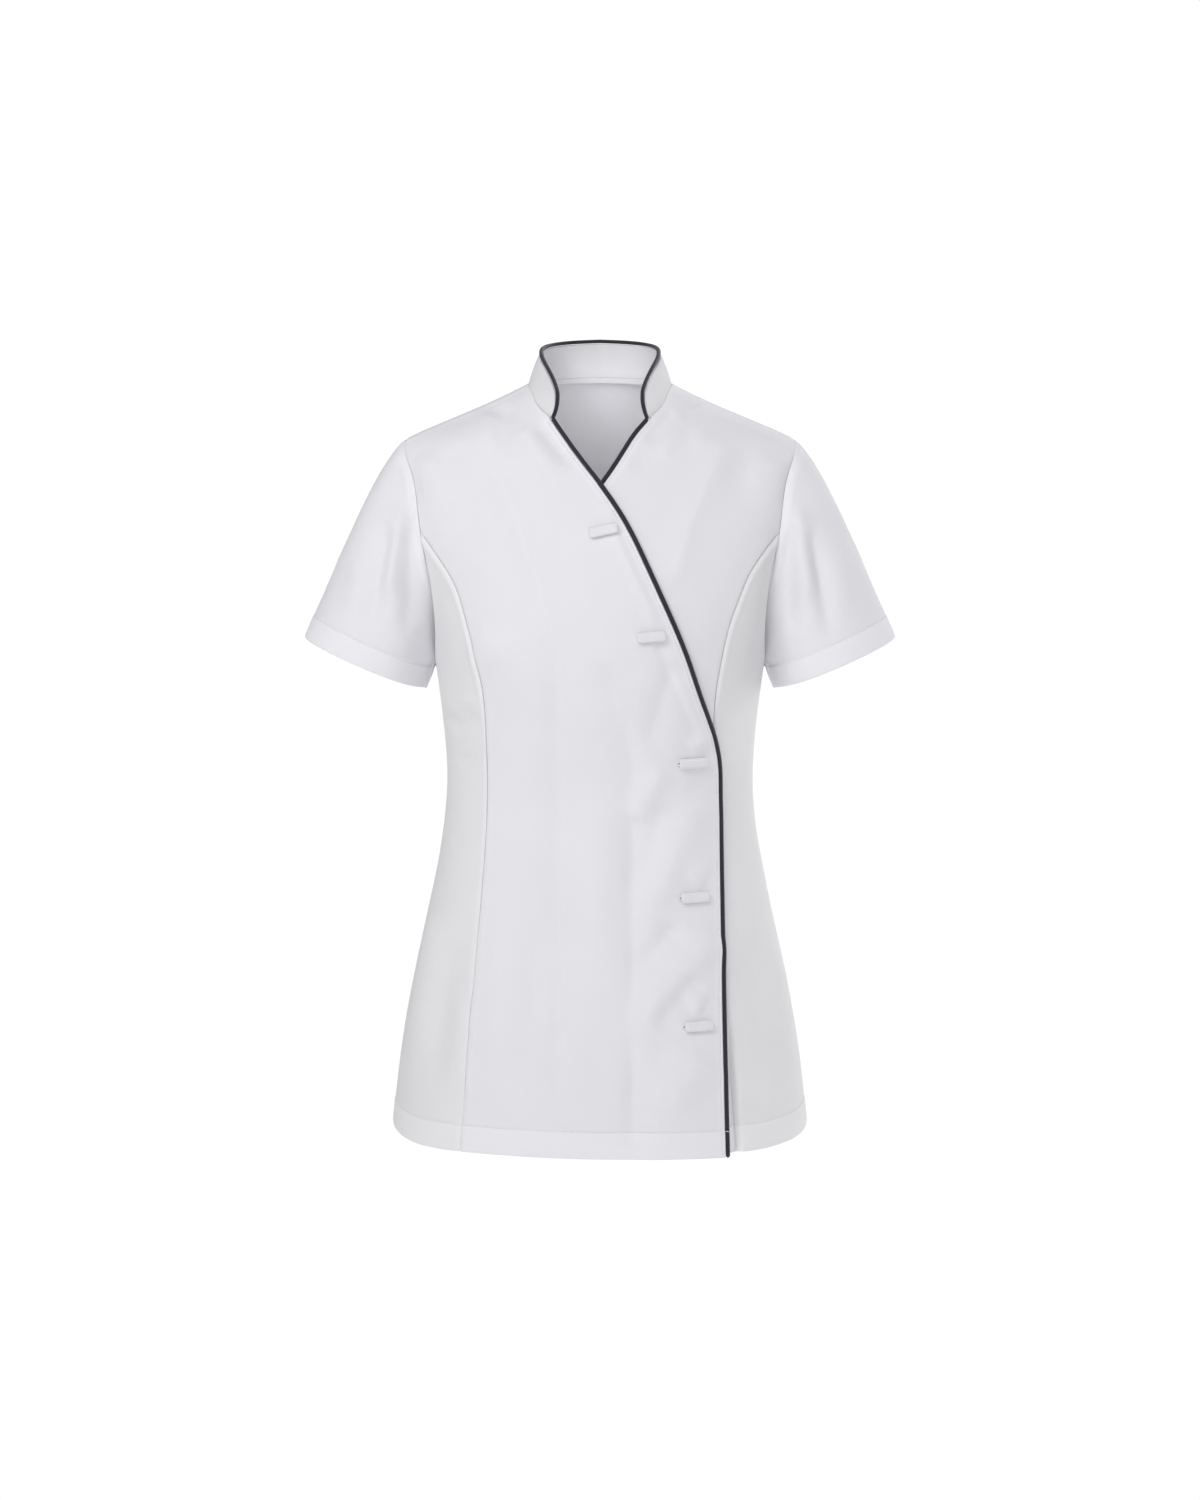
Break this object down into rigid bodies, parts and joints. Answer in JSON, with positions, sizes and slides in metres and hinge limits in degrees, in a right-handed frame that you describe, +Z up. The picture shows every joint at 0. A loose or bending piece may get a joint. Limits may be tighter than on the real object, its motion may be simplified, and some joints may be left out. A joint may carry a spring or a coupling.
{
  "type": "beautician tunic",
  "caption": "Short-sleeved wrap-front salon tunic with stand collar, princess seams, covered toggles and contrast piping, filled out as worn.",
  "frame": {"origin": "between the wearer's shoulders, at the height of the neck base, where the body carries the tunic", "axes": "+Z up from hem to collar, front faces -Y, wearer's right side at -X"},
  "size_m": [0.5408, 0.2723, 0.728],
  "materials": {
    "cloth": "matt white twill",
    "piping": "navy satin-faced bias binding",
    "toggle": "white self-fabric over a firm core"
  },
  "bodies": {
    "root": {"front_right": "cloth", "front_left": "cloth", "side_front_right": "cloth", "side_front_left": "cloth", "back": "cloth", "sleeve_right": "cloth", "sleeve_left": "cloth", "collar": "cloth", "piping_collar": "piping", "piping_front_right": "piping", "piping_front_left": "piping", "toggle_1": "toggle", "toggle_2": "toggle", "toggle_3": "toggle", "toggle_4": "toggle", "toggle_5": "toggle"}
  },
  "joints": []
}
